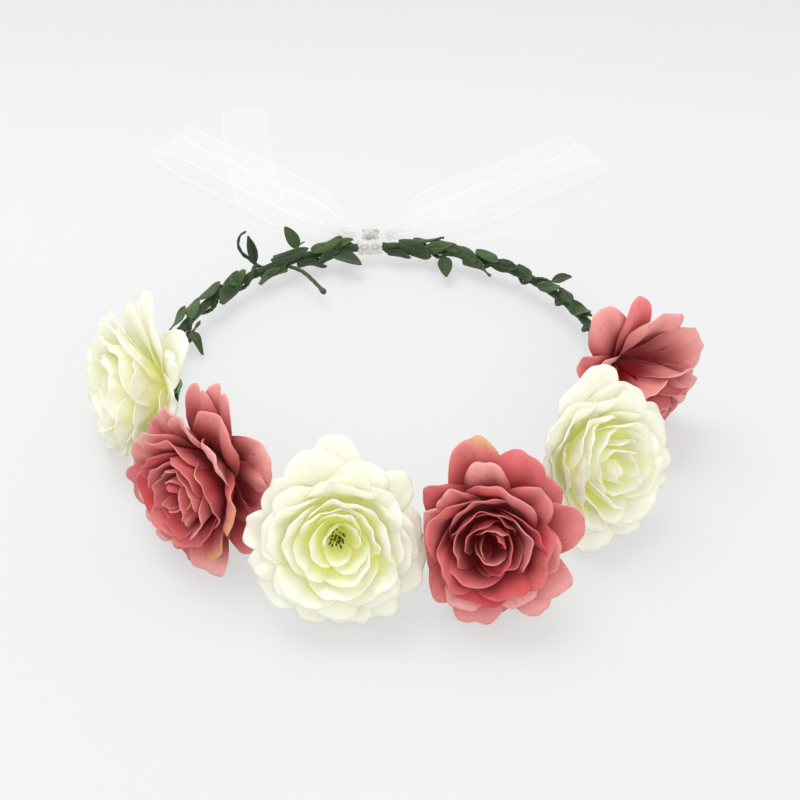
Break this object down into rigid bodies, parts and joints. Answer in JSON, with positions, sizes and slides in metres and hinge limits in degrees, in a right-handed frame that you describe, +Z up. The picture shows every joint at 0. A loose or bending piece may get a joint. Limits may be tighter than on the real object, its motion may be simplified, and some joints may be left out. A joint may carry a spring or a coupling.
{
  "type": "flower crown",
  "caption": "Leafy wired hoop, open at the back and tied with a sheer ribbon bow, with large cream and coral cloth flowers along its front.",
  "frame": {"origin": "centre of the hoop, on the table that the crown lies on", "axes": "+Z up, +Y towards the ribbon bow at the back, -Y towards the flowers at the front, +X to the right as seen from the front"},
  "size_m": [0.2451, 0.3411, 0.0691],
  "materials": {
    "wire": "drawn steel wire",
    "floral_tape": "waxed crepe paper tape, matt",
    "garland_stem": "twisted leaf-green cloth stem",
    "leaf_green": "printed cloth leaf with a soft sheen",
    "calyx_green": "moulded soft plastic",
    "stamens": "fine yellow-green filaments with dark tips",
    "coral_petal": "woven polyester petal, dusty coral, pale cut edges and ochre tints",
    "cream_petal": "woven polyester petal, cream with a lime base",
    "organza": "sheer white organza ribbon"
  },
  "bodies": {
    "root": {"wire_core": "wire", "stem_tape": "floral_tape", "garland_stem_left": "garland_stem", "garland_stem_right": "garland_stem", "tendril": "garland_stem", "cut_twig": "garland_stem", "ribbon_wrap": "organza", "bow_knot": "organza", "leaf_left_end": "leaf_green", "leaf_left_front": "leaf_green", "leaf_left_inner": "leaf_green", "leaf_left_low": "leaf_green", "leaf_left_spike": "leaf_green", "leaf_left_top": "leaf_green", "leaf_right_end": "leaf_green", "leaf_right_inner": "leaf_green", "leaf_right_low": "leaf_green", "leaf_right_outer": "leaf_green", "leaf_right_top": "leaf_green"},
    "cream_left": {"cream_left_calyx": "calyx_green", "cream_left_inner_petals": "cream_petal", "cream_left_middle_petals": "cream_petal", "cream_left_outer_petals": "cream_petal", "cream_left_stamens": "stamens", "cream_left_tie": "floral_tape"},
    "coral_left": {"coral_left_bud": "coral_petal", "coral_left_calyx": "calyx_green", "coral_left_inner_petals": "coral_petal", "coral_left_middle_petals": "coral_petal", "coral_left_outer_petals": "coral_petal", "coral_left_tie": "floral_tape"},
    "cream_front": {"cream_front_calyx": "calyx_green", "cream_front_inner_petals": "cream_petal", "cream_front_middle_petals": "cream_petal", "cream_front_outer_petals": "cream_petal", "cream_front_stamens": "stamens", "cream_front_tie": "floral_tape"},
    "coral_front": {"coral_front_bud": "coral_petal", "coral_front_calyx": "calyx_green", "coral_front_inner_petals": "coral_petal", "coral_front_middle_petals": "coral_petal", "coral_front_outer_petals": "coral_petal", "coral_front_tie": "floral_tape"},
    "cream_right": {"cream_right_calyx": "calyx_green", "cream_right_inner_petals": "cream_petal", "cream_right_middle_petals": "cream_petal", "cream_right_outer_petals": "cream_petal", "cream_right_stamens": "stamens", "cream_right_tie": "floral_tape"},
    "coral_right": {"coral_right_bud": "coral_petal", "coral_right_calyx": "calyx_green", "coral_right_inner_petals": "coral_petal", "coral_right_middle_petals": "coral_petal", "coral_right_outer_petals": "coral_petal", "coral_right_tie": "floral_tape"},
    "bow": {"bow_loop_left": "organza", "bow_loop_right": "organza", "bow_tail_left": "organza", "bow_tail_right": "organza"}
  },
  "joints": [
    {"name": "cream_left_tilt", "type": "hinge", "parent": "root", "child": "cream_left", "pos_m": [-0.08999, -0.01911, 0.01203], "axis": [-0.2079, 0.9773, -0.0399], "range_deg": [-12, 12]},
    {"name": "coral_left_tilt", "type": "hinge", "parent": "root", "child": "coral_left", "pos_m": [-0.06036, -0.06938, 0.01408], "axis": [-0.7547, 0.6555, -0.0267], "range_deg": [-12, 12]},
    {"name": "cream_front_tilt", "type": "hinge", "parent": "root", "child": "cream_front", "pos_m": [-0.01755, -0.09023, 0.01493], "axis": [-0.9816, 0.1907, -0.0078], "range_deg": [-12, 12]},
    {"name": "coral_front_tilt", "type": "hinge", "parent": "root", "child": "coral_front", "pos_m": [0.03595, -0.08462, 0.0147], "axis": [-0.9205, -0.3904, 0.0159], "range_deg": [-12, 12]},
    {"name": "cream_right_tilt", "type": "hinge", "parent": "root", "child": "cream_right", "pos_m": [0.0725, -0.05659, 0.01356], "axis": [-0.6157, -0.7874, 0.0321], "range_deg": [-12, 12]},
    {"name": "coral_right_tilt", "type": "hinge", "parent": "root", "child": "coral_right", "pos_m": [0.09131, -0.0112, 0.01171], "axis": [-0.1219, -0.9917, 0.0405], "range_deg": [-12, 12]},
    {"name": "bow_swing", "type": "hinge", "parent": "root", "child": "bow", "pos_m": [-0.00802, 0.09997, 0.00801], "axis": [1, 0, 0], "range_deg": [-90, 35]}
  ]
}
